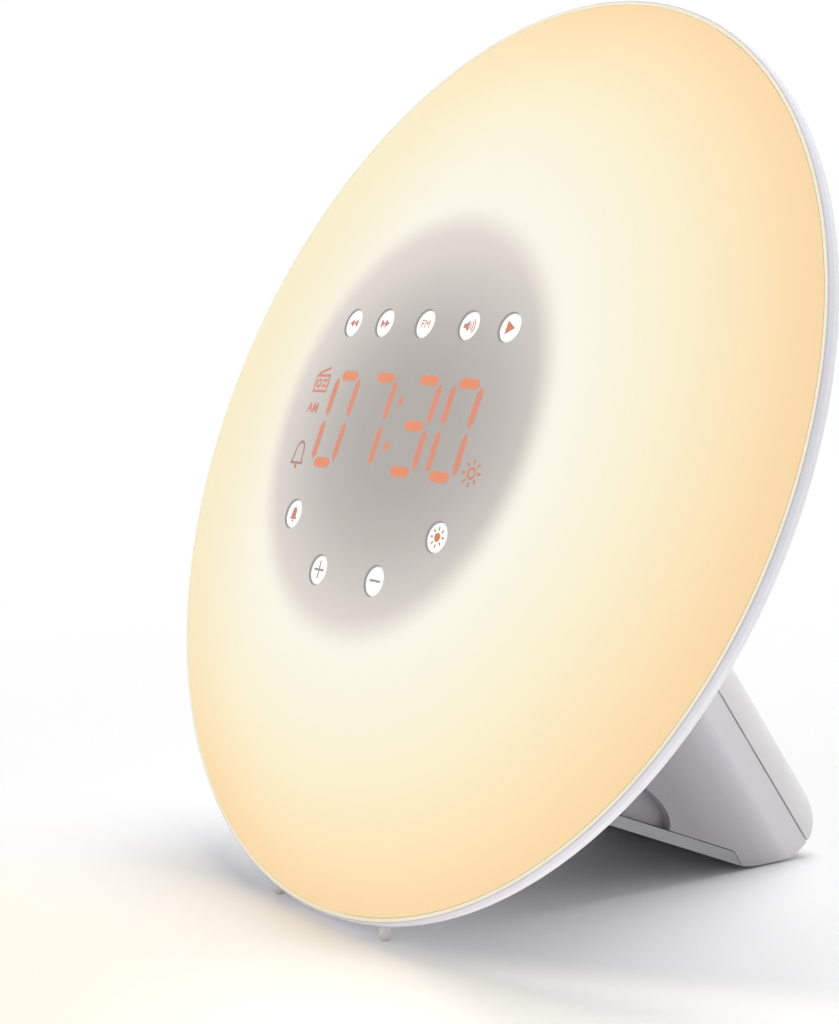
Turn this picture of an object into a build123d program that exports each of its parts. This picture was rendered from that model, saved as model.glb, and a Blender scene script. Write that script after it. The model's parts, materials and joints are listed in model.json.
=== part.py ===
from build123d import *
import os
from math import asin, atan2, cos, degrees, hypot, radians, sin, sqrt

# A sunrise alarm clock: a round lamp disc that leans back on a hollow wedge leg.
# Millimetres, +Z up. The clock faces -Y. The origin is on the floor, under the middle
# of the clock's outline. Levels on the disc are heights along the disc's own axis,
# counted from the plane of the diffuser's edge, positive towards the front.

# ------------------------------------------------------------------ driving sizes
# disc and its rim
disc_tilt = 22.0
rim_band = 1.1
rim_depth = 2.6
rim_rounding = 0.5
rim_floor_gap = 0.8
housing_depth = 19.3
housing_wall = 2.0

# domed diffuser
diffuser_radius = 91.0
diffuser_wall = 2.0
diffuser_skirt = 2.0
dome_rise = 15.8
crown_radius = 500.0
knee_radius = 50.0
fit_gap = 0.1
loose_gap = 0.3

# buttons
button_radius = 2.85
button_gap = 0.2
button_recess = 0.25
button_travel = 0.5
button_edge = 0.3
flange_radius = 4.3
flange_thickness = 0.8
stem_radius = 1.5
stem_gap = 0.15
top_row_height = 19.15
top_row_middle = -0.95
top_row_inner = 14.0
top_row_outer = 25.9
button_arc_middle = -1.95
button_arc_radius = 32.3
button_arc_outer = 49.8
button_arc_inner = 17.5

# control module behind the middle of the face
module_radius = 42.0
module_wall = 1.6
module_tab_radius = 4.0
module_tab_thickness = 2.0
module_tab_reach = 4.5
board_thickness = 1.6
switch_size = 6.0
switch_height = 3.5
plunger_radius = 1.7
plunger_rise = 0.8
mask_thickness = 0.4
board_post_inset = 5.4
board_post_radius = 2.6

# display
display_width = 53.0
display_height = 23.0
filter_thickness = 0.8
digit_places = (-20.5, -7.7, 6.8, 19.1)
digit_half_width = 4.0
digit_half_height = 8.95
digit_middle = -1.05
segment_width = 2.4
segment_gap = 0.5
segment_depth = 0.6
colon_place = -0.25
colon_offset = 4.45

# lamp behind the diffuser
reflector_level = -2.2
reflector_thickness = 1.2
reflector_gap = 2.0
led_count = 16
led_length = 3.5
led_width = 2.8
led_height = 1.6
led_gap = 0.6
led_opening = 2.5
led_board_gap = 0.8
led_post_inset = 5.0
led_screw_grip = 2.5

# screws: one self-tapping size throughout
screw_radius = 1.05
screw_head_radius = 2.3
screw_head_height = 1.4
screw_gap = 0.05
screw_grip = 4.0
screw_cross_length = 3.0
screw_cross_width = 0.65
screw_cross_depth = 0.85
pilot_spare = 1.0
clearance_radius = 1.4
boss_radius = 3.2
boss_inset = 11.0
boss_count = 6
boss_seat = -3.6
well_floor = 1.6
well_radius = 4.2
well_bore = 2.8

# wedge leg
leg_half_width = 24.0
leg_wall = 2.2
leg_slope = 35.5
leg_rounding = 10.0
leg_end_radius = 11.0
heel_front = 51.5
heel_bow = 5.0
heel_bow_radius = 20.0
heel_flat = 5.8
parting_gap = 0.4
tongue_depth = 2.0
tongue_wall = 1.2
tongue_band = 1.5
base_plate_thickness = 2.3
base_plate_slant = 3.2
base_plate_gap = 0.15
pad_proud = 0.4
pad_thickness = 1.2
pad_margin = 2.6
pad_setback = 0.8
leg_boss_length = 7.0
leg_seat_rise = 1.0
boss_merge = 0.5
leg_boss_heights = (-17.0, -40.0)
plate_boss_height = 7.4
plate_boss_places = (24.0, 70.0)
cover_boss_x = 10.0
cover_boss_place = -3.0

# finger recess with the power socket, low on the leg's right side
recess_place = 40.0
recess_half_length = 18.5
recess_height = 7.5
recess_depth = 2.2
recess_wall = 1.9
jack_place = 38.0
jack_half_height = 3.95
jack_width = 9.0
jack_length = 14.0
jack_nose_radius = 3.3
jack_bore_radius = 2.75
jack_bore_depth = 9.5
jack_pin_radius = 1.0
jack_pin_setback = 1.0

# speaker in the leg
speaker_side_gap = 3.8
speaker_band = 2.8
speaker_corner_inset = 2.7
speaker_taper = 2.7
speaker_flange = 1.2
speaker_depth = 9.0
speaker_wall = 0.9
magnet_inset = 1.0
magnet_height = 6.5
gasket_thickness = 1.0
speaker_seat = 0.8
gasket_width = 1.8
cone_wall = 0.5
cone_roll = 1.6
cone_recess = 0.4
cone_lift = 1.5
cone_throat_radius = 3.8
cone_cap_rise = 1.2
speaker_place = 43.0
grille_hole = 1.1
grille_margin = 2.6
grille_rings = 3

# small feet under the rim, outlet for the radio's aerial wire
foot_angle = 11.5
foot_depth = 3.5
foot_radius = 1.1
foot_flat = 0.15
foot_peg_radius = 0.7
foot_peg_length = 1.2
aerial_place = (-40.0, -46.0)
aerial_bush_radius = 2.3
aerial_wire_radius = 0.8
aerial_flange_radius = 3.6
aerial_flange = 1.2
aerial_lip = 1.0

# board and cable in the leg
main_board_start = 26.0
main_board_length = 40.0
main_board_half_width = 19.0
main_board_boss_height = 7.0
main_board_edge = 0.8
capacitor_radius = 4.0
capacitor_height = 10.0
capacitor_pitch = 10.0
capacitor_offset = 6.0
ribbon_width = 14.0
ribbon_thickness = 0.6
ribbon_height = -20.0
ribbon_drop = 32.0
ribbon_bend = 6.0
socket_height = 3.0
socket_width = 4.0
socket_edge = 1.0
window_width = 20.0
window_height = 8.0

# ------------------------------------------------------------------ worked-out sizes
tilt_sin = sin(radians(disc_tilt))
tilt_cos = cos(radians(disc_tilt))
slope_sin = sin(radians(leg_slope))
slope_cos = cos(radians(leg_slope))
pilot_radius = screw_radius + screw_gap
rim_radius = diffuser_radius + rim_band
skirt_inner = diffuser_radius - diffuser_wall
boss_screw_circle = diffuser_radius - boss_inset

# the dome's section is a wide crown arc, then a tighter knuckle arc down to the edge
knee_angle = asin(knee_radius / crown_radius)
knee_level = dome_rise - crown_radius * (1 - cos(knee_angle))
knuckle_chord = hypot(diffuser_radius - knee_radius, knee_level)
knuckle_turn = atan2(knee_level, diffuser_radius - knee_radius) - knee_angle
knuckle_radius = knuckle_chord / (2 * sin(knuckle_turn))
knuckle_x = knee_radius - knuckle_radius * sin(knee_angle)
knuckle_y = knee_level - knuckle_radius * cos(knee_angle)

# the back of the disc is one shallow arc from the rim's rear corner to its middle
dish_rise = housing_depth - rim_depth
dish_radius = (rim_radius**2 + dish_rise**2) / (2 * dish_rise)
dish_centre = dish_radius - housing_depth
seat_inner = sqrt((dish_radius - housing_wall) ** 2 - (dish_centre + diffuser_skirt) ** 2)
foot_seat = sqrt(dish_radius**2 - (dish_centre + foot_depth) ** 2)

# the rim clears the floor, and the clock's outline is centred on Y
disc_z = rim_radius * tilt_cos + rim_depth * tilt_sin + rim_floor_gap
front_reach = knuckle_x * tilt_sin + knuckle_y * tilt_cos + knuckle_radius
rear_reach = heel_front + heel_bow + heel_flat + leg_end_radius
disc_y = (front_reach - rear_reach) / 2

# planes: the face looks along the disc's axis, the section holds the axis, and the
# side looks along +X with depth behind the face as its x and height on the face as y
disc_centre = (0, disc_y, disc_z)
disc_axis = (0, -tilt_cos, tilt_sin)
face = Plane(origin=disc_centre, x_dir=(1, 0, 0), z_dir=disc_axis)
section = Plane(origin=disc_centre, x_dir=(1, 0, 0), z_dir=(0, -tilt_sin, -tilt_cos))
side = Plane(origin=disc_centre, x_dir=(0, tilt_cos, -tilt_sin), z_dir=(1, 0, 0))
turn_axis = Axis(disc_centre, disc_axis)
height_axis = Axis(disc_centre, (0, tilt_sin, tilt_cos))


def dome_level(radius, inset=0.0):
    """Level of the dome's surface at a radius, or of a surface inset into it."""
    crown = crown_radius - inset
    if radius <= crown * sin(knee_angle):
        return dome_rise - crown_radius + sqrt(crown**2 - radius**2)
    return knuckle_y + sqrt((knuckle_radius - inset) ** 2 - (radius - knuckle_x) ** 2)


def dish_level(radius, inset=0.0):
    """Level of the disc's back surface at a radius, or of a surface inset into it."""
    return dish_centre - sqrt((dish_radius - inset) ** 2 - radius**2)


# names and places of the buttons: a straight row above, an arc below
row_left, row_right = top_row_middle - top_row_outer, top_row_middle + top_row_outer
arc_wide = button_arc_radius * sin(radians(button_arc_outer))
arc_narrow = button_arc_radius * sin(radians(button_arc_inner))
arc_upper = -button_arc_radius * cos(radians(button_arc_outer))
arc_lower = -button_arc_radius * cos(radians(button_arc_inner))
buttons = {
    "rewind": (row_left, top_row_height),
    "forward": (top_row_middle - top_row_inner, top_row_height),
    "fm": (top_row_middle, top_row_height),
    "sound": (top_row_middle + top_row_inner, top_row_height),
    "play": (row_right, top_row_height),
    "alarm": (button_arc_middle - arc_wide, arc_upper),
    "plus": (button_arc_middle - arc_narrow, arc_lower),
    "minus": (button_arc_middle + arc_narrow, arc_lower),
    "light": (button_arc_middle + arc_wide, arc_upper),
}
button_places = list(buttons.values())
flange_reach = max(hypot(*place) for place in button_places) + flange_radius

# the control module is stacked backwards from the diffuser's inner face
flange_front = dome_level(flange_reach, diffuser_wall) - 2 * fit_gap
flange_back = flange_front - flange_thickness
mask_front = flange_back - button_travel - 2 * fit_gap
frame_plate_front = mask_front - mask_thickness
frame_plate_back = frame_plate_front - module_wall
plunger_front = frame_plate_back - loose_gap
switch_front = plunger_front - plunger_rise
board_front = switch_front - switch_height
board_back = board_front - board_thickness
frame_wall_front = dome_level(module_radius, diffuser_wall) - loose_gap
display_middle = (digit_places[0] + digit_places[-1]) / 2, digit_middle
display_corner = hypot(display_width / 2 - display_middle[0], display_height / 2 - digit_middle)
filter_front = dome_level(display_corner, diffuser_wall) - loose_gap
display_front = filter_front - filter_thickness
module_inner = module_radius - module_wall
module_screw_circle = module_radius + module_tab_reach
board_post_circle = module_inner - board_post_inset

# the lamp is stacked backwards from its reflector
reflector_front = reflector_level + reflector_thickness
reflector_inner = module_radius - module_wall / 2
reflector_radius = skirt_inner - reflector_gap
tab_front = reflector_front + module_tab_thickness
led_front = reflector_level - led_gap
led_board_front = led_front - led_height
led_board_back = led_board_front - board_thickness
led_board_inner = module_screw_circle + module_tab_radius
led_board_outer = boss_screw_circle - well_radius - led_board_gap
led_circle = (led_board_inner + led_board_outer) / 2
led_post_circle = led_board_outer - led_post_inset

# the leg's sloping back is tangent to its round end, and the end to the heel's flat,
# which bows up in front to meet the leg's underside
bow_y = disc_y + heel_front + heel_bow
bow_z = pad_proud + heel_bow_radius
bow_depth = (heel_front + heel_bow) * tilt_cos - (bow_z - disc_z) * tilt_sin
bow_height = (heel_front + heel_bow) * tilt_sin + (bow_z - disc_z) * tilt_cos
corner_drop = bow_z - sqrt(heel_bow_radius**2 - heel_bow**2) - disc_z
end_y = bow_y + heel_flat
end_z = pad_proud + leg_end_radius
back_point = (0, end_y + leg_end_radius * slope_cos, end_z + leg_end_radius * slope_sin)
back = Plane(origin=back_point, x_dir=(-1, 0, 0), z_dir=(0, slope_cos, slope_sin))
slope_section = Plane(origin=back_point, x_dir=(1, 0, 0), z_dir=(0, -slope_sin, slope_cos))
underside = heel_front * tilt_sin + corner_drop * tilt_cos
plate_top = underside + base_plate_thickness
heel_depth = heel_front * tilt_cos - corner_drop * tilt_sin
boss_x = leg_half_width - leg_wall - boss_radius + boss_merge
jack_height = plate_top + jack_half_height
main_board_bottom = jack_height + jack_half_height
main_board_top = main_board_bottom + board_thickness
board_boss_x = main_board_half_width - boss_radius
board_boss_places = (
    main_board_start + boss_radius + main_board_edge,
    main_board_start + main_board_length - boss_radius - main_board_edge,
)
recess_floor = leg_half_width - recess_depth
recess_back = recess_floor - recess_wall

# the speaker fills the width between the leg's sides
speaker_half_width = leg_half_width - leg_wall - speaker_side_gap
speaker_bore = speaker_half_width - speaker_band
speaker_corner = speaker_half_width - speaker_corner_inset
speaker_back = speaker_bore - speaker_taper
magnet_radius = speaker_back - magnet_inset
grille_pitch = (speaker_bore - grille_margin) / grille_rings

os.makedirs("parts", exist_ok=True)


# ------------------------------------------------------------------ shared shapes
def to_yz(depth, height):
    """World Y and Z of a point given by its depth behind the face and height on it."""
    y = disc_y + depth * tilt_cos + height * tilt_sin
    z = disc_z - depth * tilt_sin + height * tilt_cos
    return y, z


def dome_face(inset, bottom, radius):
    """Half section of the space under the dome, down to a level, out to a radius."""
    turn = degrees(knee_angle)
    edge_turn = degrees(asin((radius - knuckle_x) / (knuckle_radius - inset)))
    with BuildSketch() as profile:
        with BuildLine():
            crown = CenterArc((0, dome_rise - crown_radius), crown_radius - inset, 90, -turn)
            centre = (knuckle_x, knuckle_y)
            bend = CenterArc(centre, knuckle_radius - inset, 90 - turn, turn - edge_turn)
            Polyline(bend @ 1, (radius, bottom), (0, bottom), crown @ 0)
        make_face()
    return profile.sketch


def dish_face(inset, radius, top):
    """Half section of the space in front of the disc's back, out to a radius."""
    sweep = degrees(asin(radius / (dish_radius - inset)))
    with BuildSketch() as profile:
        with BuildLine():
            arc = CenterArc((0, dish_centre), dish_radius - inset, -90, sweep)
            Polyline(arc @ 1, (radius, top), (0, top), arc @ 0)
        make_face()
    return profile.sketch


def around(count, radius, start=0.0):
    """Evenly spaced places on a circle."""
    angles = [radians(start + 360.0 * i / count) for i in range(count)]
    return [(radius * cos(a), radius * sin(a)) for a in angles]


def seat(plane, place, flip=False):
    """Plane at a place on another plane, facing the same way or, flipped, the other."""
    origin = plane.from_local_coords((place[0], place[1], 0))
    direction = -plane.z_dir if flip else plane.z_dir
    return Plane(origin=origin, x_dir=plane.x_dir, z_dir=direction)


def rods(plane, places, radius, length, mode=Mode.ADD):
    """Round rods from a plane along its normal, or against it if the length is negative."""
    with BuildSketch(plane) as circles:
        with Locations(*places):
            Circle(radius)
    extrude(circles.sketch, amount=length, mode=mode)


def screws(plane, places, length, flip=False):
    """Pan-head screws: the heads stand on the plane, the shanks go behind it."""
    for place in places:
        base = seat(plane, place, flip)
        rods(base, [(0, 0)], screw_head_radius, screw_head_height)
        rods(base, [(0, 0)], screw_radius, -length)
        with BuildSketch(base.offset(screw_head_height)) as cross:
            Rectangle(screw_cross_length, screw_cross_width)
            Rectangle(screw_cross_width, screw_cross_length)
        extrude(cross.sketch, amount=-screw_cross_depth, mode=Mode.SUBTRACT)


def leg_block(inset):
    """The leg as a solid wedge, with each face but the one at the disc moved inwards."""
    floor = pad_proud + inset
    end_radius = leg_end_radius - inset
    bow_radius = heel_bow_radius - inset
    bow_reach = sqrt(bow_radius**2 - (bow_height - underside - inset) ** 2)
    corner = to_yz(bow_depth + bow_reach, underside + inset)
    bow_turn = degrees(asin((bow_y - corner[0]) / bow_radius))
    start_y = end_y + end_radius * slope_cos
    start_z = end_z + end_radius * slope_sin
    start_depth = (start_y - disc_y) * tilt_cos - (start_z - disc_z) * tilt_sin
    rise = (start_depth - rim_depth) / (slope_sin * tilt_cos + slope_cos * tilt_sin)
    top = (start_y - rise * slope_sin, start_z + rise * slope_cos)
    root = to_yz(rim_depth, underside + inset)
    with BuildPart() as block:
        with BuildSketch(Plane.YZ):
            with BuildLine():
                CenterArc((end_y, end_z), end_radius, -90, 90 + leg_slope)
                CenterArc((bow_y, bow_z), bow_radius, -90 - bow_turn, bow_turn)
                Polyline((start_y, start_z), top, root, corner)
                Line((bow_y, floor), (end_y, floor))
            make_face()
        extrude(amount=leg_half_width - inset, both=True)
        with BuildSketch(slope_section):
            with Locations((0, -inset)):
                width = 2 * (leg_half_width - inset)
                Rectangle(width, 2 * rim_radius, align=(Align.CENTER, Align.MAX))
            fillet(vertices().group_by(Axis.Y)[-1], leg_rounding - inset)
        extrude(amount=2 * rim_radius, both=True, mode=Mode.INTERSECT)
        with BuildSketch(section):
            add(dish_face(-fit_gap, rim_radius, 0))
        revolve(axis=turn_axis, mode=Mode.SUBTRACT)
    return block.part


def slope_slab(low, high):
    """Slab across the leg between two depths under its sloping back."""
    with BuildPart() as slab:
        with BuildSketch(back.offset(-low)):
            Rectangle(4 * leg_half_width, 4 * rim_radius)
        extrude(amount=low - high)
    return slab.part


# ------------------------------------------------------------------ diffuser
boss_places = around(boss_count, boss_screw_circle, 180 / boss_count)

with BuildPart() as dome_space:
    with BuildSketch(section):
        add(dome_face(diffuser_wall, -diffuser_skirt, skirt_inner))
    revolve(axis=turn_axis)
    rods(face.offset(-diffuser_skirt), boss_places, boss_radius, dome_rise, Mode.SUBTRACT)

with BuildPart() as front_diffuser:
    with BuildSketch(section):
        add(dome_face(0, -diffuser_skirt, diffuser_radius))
    revolve(axis=turn_axis)
    add(dome_space.part, mode=Mode.SUBTRACT)
    rods(face.offset(boss_seat), boss_places, boss_radius, -boss_seat)
    depth = screw_grip + pilot_spare
    rods(face.offset(boss_seat), boss_places, pilot_radius, depth, Mode.SUBTRACT)
    rods(face, button_places, button_radius + button_gap, 2 * dome_rise, Mode.SUBTRACT)
front_diffuser.part.label = "front_diffuser"
export_step(front_diffuser.part, "parts/front_diffuser.step")

# ------------------------------------------------------------------ rear housing
module_places = around(4, module_screw_circle, 45)
led_post_places = around(4, led_post_circle)
leg_boss_places = [(x, y) for x in (-boss_x, boss_x) for y in leg_boss_heights]
leg_seat_levels = [
    dish_level(hypot(*place), housing_wall) + leg_seat_rise for place in leg_boss_places
]
foot_planes = []
for angle in (-foot_angle, foot_angle):
    foot_x = sin(radians(angle))
    foot_v = -cos(radians(angle))
    direction = (foot_x, foot_v * tilt_sin, foot_v * tilt_cos)
    start = face.from_local_coords((0, 0, -foot_depth))
    foot_planes.append(Plane(origin=start, x_dir=disc_axis, z_dir=direction))

with BuildPart() as housing_space:
    with BuildSketch(section):
        add(dish_face(housing_wall, seat_inner, 0))
    revolve(axis=turn_axis)
    rods(face.offset(boss_seat), boss_places, well_radius, -housing_depth, Mode.SUBTRACT)
    rods(face.offset(reflector_level), module_places, boss_radius, -housing_depth, Mode.SUBTRACT)
    rods(face.offset(led_board_back), led_post_places, boss_radius, -housing_depth, Mode.SUBTRACT)
    for place, level in zip(leg_boss_places, leg_seat_levels):
        rods(face.offset(level), [place], boss_radius, -housing_depth, Mode.SUBTRACT)
    rods(face, [(0, 0)], diffuser_radius + fit_gap, -diffuser_skirt)

with BuildPart() as rear_housing:
    with BuildSketch(section):
        add(dish_face(0, rim_radius, 0))
        fillet(vertices().sort_by(Axis.X)[-2:], rim_rounding)
    revolve(axis=turn_axis)
    add(housing_space.part, mode=Mode.SUBTRACT)
    well_back = boss_seat - well_floor
    rods(face.offset(well_back), boss_places, well_bore, -housing_depth, Mode.SUBTRACT)
    rods(face, boss_places, clearance_radius, -housing_depth, Mode.SUBTRACT)
    depth = screw_grip + pilot_spare
    rods(face.offset(reflector_level), module_places, pilot_radius, -depth, Mode.SUBTRACT)
    rods(face.offset(led_board_back), led_post_places, pilot_radius, -depth, Mode.SUBTRACT)
    rods(face, leg_boss_places, clearance_radius, -2 * housing_depth, Mode.SUBTRACT)
    rods(face, [aerial_place], aerial_bush_radius + fit_gap, -housing_depth, Mode.SUBTRACT)
    with BuildSketch(face):
        with Locations((0, ribbon_height)):
            Rectangle(window_width, window_height)
    extrude(amount=-2 * housing_depth, mode=Mode.SUBTRACT)
    for plane in foot_planes:
        start = plane.offset(foot_seat - foot_peg_length - fit_gap)
        rods(start, [(0, 0)], foot_peg_radius + fit_gap / 2, 5 * foot_radius, Mode.SUBTRACT)
rear_housing.part.label = "rear_housing"
export_step(rear_housing.part, "parts/rear_housing.step")

with BuildPart() as front_feet:
    for plane in foot_planes:
        reach = (foot_radius - foot_flat - plane.origin.Z) / plane.z_dir.Z
        start = foot_seat - 4 * foot_radius
        rods(plane.offset(start), [(0, 0)], foot_radius, reach - start)
        with Locations(plane.from_local_coords((0, 0, reach))):
            Sphere(foot_radius)
    with BuildSketch(section):
        add(dish_face(0, rim_radius, 0))
    revolve(axis=turn_axis, mode=Mode.SUBTRACT)
    for plane in foot_planes:
        length = foot_peg_length + 3 * foot_radius
        rods(plane.offset(foot_seat - foot_peg_length), [(0, 0)], foot_peg_radius, length)
    split(bisect_by=Plane.XY, keep=Keep.TOP)
front_feet.part.label = "front_feet"
export_step(front_feet.part, "parts/front_feet.step")

with BuildPart() as aerial_grommet:
    bush_out = dish_level(hypot(*aerial_place)) - aerial_flange
    bush_length = aerial_flange + housing_wall + aerial_lip
    rods(face.offset(bush_out), [aerial_place], aerial_flange_radius, bush_length)
    with BuildSketch(section):
        add(dish_face(0, rim_radius, 0))
    revolve(axis=turn_axis, mode=Mode.SUBTRACT)
    rods(face.offset(bush_out), [aerial_place], aerial_bush_radius, bush_length)
    rods(face, [aerial_place], aerial_wire_radius, -2 * housing_depth, Mode.SUBTRACT)
aerial_grommet.part.label = "aerial_grommet"
export_step(aerial_grommet.part, "parts/aerial_grommet.step")

# ------------------------------------------------------------------ lamp
led_places = around(led_count, led_circle, 180 / led_count)

with BuildPart() as reflector:
    with BuildSketch(face.offset(reflector_level)):
        Circle(reflector_radius)
        Circle(reflector_inner, mode=Mode.SUBTRACT)
        with Locations(*boss_places):
            Circle(boss_radius + loose_gap, mode=Mode.SUBTRACT)
        with Locations(*module_places):
            Circle(clearance_radius, mode=Mode.SUBTRACT)
        with Locations(*led_places):
            Circle(led_opening, mode=Mode.SUBTRACT)
    extrude(amount=reflector_thickness)
reflector.part.label = "reflector"
export_step(reflector.part, "parts/reflector.step")

with BuildPart() as led_board:
    with BuildSketch(face.offset(led_board_back)):
        Circle(led_board_outer)
        Circle(led_board_inner, mode=Mode.SUBTRACT)
        with Locations(*led_post_places):
            Circle(clearance_radius, mode=Mode.SUBTRACT)
    extrude(amount=board_thickness)
led_board.part.label = "led_board"
export_step(led_board.part, "parts/led_board.step")

with BuildPart() as leds:
    with BuildSketch(face.offset(led_board_front)):
        with PolarLocations(led_circle, led_count, 180 / led_count):
            Rectangle(led_width, led_length)
    extrude(amount=led_height)
leds.part.label = "leds"
export_step(leds.part, "parts/leds.step")

with BuildPart() as led_board_screws:
    screws(face.offset(led_board_front), led_post_places, board_thickness + led_screw_grip)
led_board_screws.part.label = "led_board_screws"
export_step(led_board_screws.part, "parts/led_board_screws.step")

# ------------------------------------------------------------------ control module
board_posts = around(4, board_post_circle)

with BuildPart() as control_frame:
    with BuildSketch(face.offset(reflector_front)):
        Circle(module_radius)
    extrude(amount=frame_wall_front - reflector_front)
    rods(face.offset(reflector_front), [(0, 0)], module_inner, 2 * dome_rise, Mode.SUBTRACT)
    rods(face.offset(frame_plate_back), [(0, 0)], module_radius, module_wall)
    rods(face.offset(board_front), board_posts, board_post_radius, frame_plate_back - board_front)
    with BuildSketch(face.offset(reflector_front)):
        with Locations(*module_places):
            Circle(module_tab_radius)
        with PolarLocations((module_radius + module_screw_circle) / 2, 4, 45):
            Rectangle(module_screw_circle - module_radius + module_wall, 2 * module_tab_radius)
        Circle(module_inner, mode=Mode.SUBTRACT)
    extrude(amount=module_tab_thickness)
    rods(face.offset(reflector_front), module_places, clearance_radius, dome_rise, Mode.SUBTRACT)
    depth = screw_grip + pilot_spare
    rods(face.offset(board_front), board_posts, pilot_radius, depth, Mode.SUBTRACT)
    rods(face, button_places, stem_radius + stem_gap, dome_rise, Mode.SUBTRACT)
    with BuildSketch(face):
        with Locations(display_middle):
            Rectangle(display_width + loose_gap, display_height + loose_gap)
    extrude(amount=dome_rise, mode=Mode.SUBTRACT)
control_frame.part.label = "control_frame"
export_step(control_frame.part, "parts/control_frame.step")

with BuildPart() as frame_screws:
    grip = module_tab_thickness + reflector_thickness + screw_grip
    screws(face.offset(tab_front), module_places, grip)
frame_screws.part.label = "frame_screws"
export_step(frame_screws.part, "parts/frame_screws.step")

with BuildPart() as face_mask:
    with BuildSketch(face.offset(frame_plate_front)):
        Circle(module_inner - fit_gap)
        with Locations(*button_places):
            Circle(stem_radius + stem_gap, mode=Mode.SUBTRACT)
        with Locations(display_middle):
            width = display_width + loose_gap
            Rectangle(width, display_height + loose_gap, mode=Mode.SUBTRACT)
    extrude(amount=mask_thickness)
face_mask.part.label = "face_mask"
export_step(face_mask.part, "parts/face_mask.step")

with BuildPart() as control_board:
    with BuildSketch(face.offset(board_back)):
        Circle(module_inner - 2 * fit_gap)
        with Locations(*board_posts):
            Circle(clearance_radius, mode=Mode.SUBTRACT)
    extrude(amount=board_thickness)
control_board.part.label = "control_board"
export_step(control_board.part, "parts/control_board.step")

with BuildPart() as control_board_screws:
    screws(face.offset(board_back), board_posts, board_thickness + screw_grip, flip=True)
control_board_screws.part.label = "control_board_screws"
export_step(control_board_screws.part, "parts/control_board_screws.step")

# each digit has three bars across and four posts, with the colon's dots in between
bar_length = 2 * digit_half_width - segment_gap
post_length = digit_half_height - segment_gap

with BuildPart() as display_module:
    with BuildSketch(face.offset(board_front)):
        with Locations(display_middle):
            Rectangle(display_width, display_height)
    extrude(amount=display_front - board_front)
    with BuildSketch(face.offset(display_front)):
        for digit in digit_places:
            bars = [(digit, digit_middle + k * digit_half_height) for k in (-1, 0, 1)]
            with Locations(*bars):
                SlotOverall(bar_length, segment_width)
            for k in (-1, 1):
                x = digit + k * digit_half_width
                places = [(x, digit_middle + m * digit_half_height / 2) for m in (-1, 1)]
                with Locations(*places):
                    SlotOverall(post_length, segment_width, rotation=90)
        with Locations(*[(colon_place, digit_middle + k * colon_offset) for k in (-1, 1)]):
            Circle(segment_width / 2)
    extrude(amount=-segment_depth, mode=Mode.SUBTRACT)
display_module.part.label = "display_module"
export_step(display_module.part, "parts/display_module.step")

with BuildPart() as display_filter:
    with BuildSketch(face.offset(display_front)):
        with Locations(display_middle):
            Rectangle(display_width, display_height)
    extrude(amount=filter_thickness)
display_filter.part.label = "display_filter"
export_step(display_filter.part, "parts/display_filter.step")

with BuildPart() as switch_bodies:
    with BuildSketch(face.offset(board_front)):
        with Locations(*button_places):
            Rectangle(switch_size, switch_size)
    extrude(amount=switch_height)
    hole = plunger_radius + fit_gap
    depth = plunger_rise + button_travel + fit_gap
    rods(face.offset(switch_front), button_places, hole, -depth, Mode.SUBTRACT)
switch_bodies.part.label = "switch_bodies"
export_step(switch_bodies.part, "parts/switch_bodies.step")

# ------------------------------------------------------------------ buttons
for name, place in buttons.items():
    with BuildPart() as button:
        rods(face.offset(flange_back), [place], button_radius, 2 * dome_rise)
        with BuildSketch(section):
            add(dome_face(button_recess, flange_back, knee_radius + button_radius))
        revolve(axis=turn_axis, mode=Mode.INTERSECT)
        fillet(edges().sort_by(turn_axis)[-1], button_edge)
        rods(face.offset(flange_back), [place], flange_radius, flange_thickness)
        rods(face.offset(flange_back), [place], stem_radius, plunger_front - flange_back)
    button.part.label = f"button_{name}"
    export_step(button.part, f"parts/button_{name}.step")

    with BuildPart() as plunger:
        rods(face.offset(plunger_front), [place], plunger_radius, -2 * plunger_rise)
    plunger.part.label = f"plunger_{name}"
    export_step(plunger.part, f"parts/plunger_{name}.step")

# ------------------------------------------------------------------ leg shells
leg_outer = leg_block(0)
leg_hollow = leg_block(leg_wall)
tongue_outer = leg_block(leg_wall + fit_gap)
tongue_inner = leg_block(leg_wall + fit_gap + tongue_wall)

heel = Plane(origin=(0, end_y, pad_proud), x_dir=(1, 0, 0), z_dir=(0, 0, 1))
pad_length = heel_flat - 2 * pad_setback
pad_width = 2 * (leg_half_width - pad_margin)
pad_place = (0, -pad_setback - pad_length / 2)
plate_top_plane = Plane(
    origin=side.from_local_coords((0, plate_top, 0)), x_dir=(1, 0, 0), z_dir=side.y_dir
)
plate_screw_sites = [(k * boss_x, depth) for k in (-1, 1) for depth in plate_boss_places]
board_screw_sites = [(k * board_boss_x, depth) for k in (-1, 1) for depth in board_boss_places]
board_boss_plane = plate_top_plane.offset(main_board_top - plate_top)
cover_screw_sites = [(k * cover_boss_x, cover_boss_place) for k in (-1, 1)]
cover_well_depth = leg_rounding + tongue_depth
cover_boss_top = cover_well_depth + fit_gap
jack_plane = side.offset(recess_back)
recess_plane = side.offset(recess_floor)
speaker = seat(back, (0, speaker_place)).offset(-leg_wall - speaker_seat)
flange_plane = speaker.offset(-gasket_thickness)
speaker_turn = Axis(speaker.origin, speaker.z_dir)
speaker_section = Plane(
    origin=speaker.origin, x_dir=speaker.x_dir, z_dir=speaker.x_dir.cross(speaker.z_dir)
)
speaker_corners = [(k * speaker_corner, m * speaker_corner) for k in (-1, 1) for m in (-1, 1)]


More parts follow.
